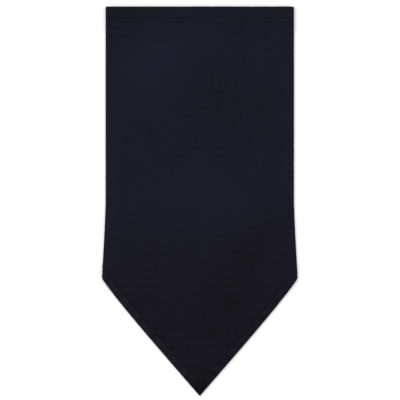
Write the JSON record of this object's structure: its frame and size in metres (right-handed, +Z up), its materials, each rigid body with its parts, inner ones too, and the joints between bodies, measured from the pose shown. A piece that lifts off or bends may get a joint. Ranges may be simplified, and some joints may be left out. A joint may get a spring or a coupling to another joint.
{
  "type": "neck warmer",
  "caption": "Knitted tube neck warmer laid flat, with a straight hemmed top edge and a long V point in front.",
  "frame": {"origin": "centre of the outline's box on the table that the neck warmer lies on", "axes": "+Y from the point of the V up to the top edge, +X across the tube, +Z up from the table"},
  "size_m": [0.2446, 0.4868, 0.006],
  "materials": {
    "front_knit": "dark navy brushed thermal knit, matt",
    "back_knit": "dark navy brushed thermal knit, matt",
    "hem_knit": "dark navy knit hem with tonal stitching, matt"
  },
  "bodies": {
    "root": {"front_panel": "front_knit", "back_panel": "back_knit", "front_top_hem": "hem_knit", "back_top_hem": "hem_knit", "back_bottom_hem": "hem_knit", "point_hem_left": "hem_knit", "point_hem_right": "hem_knit"}
  },
  "joints": []
}
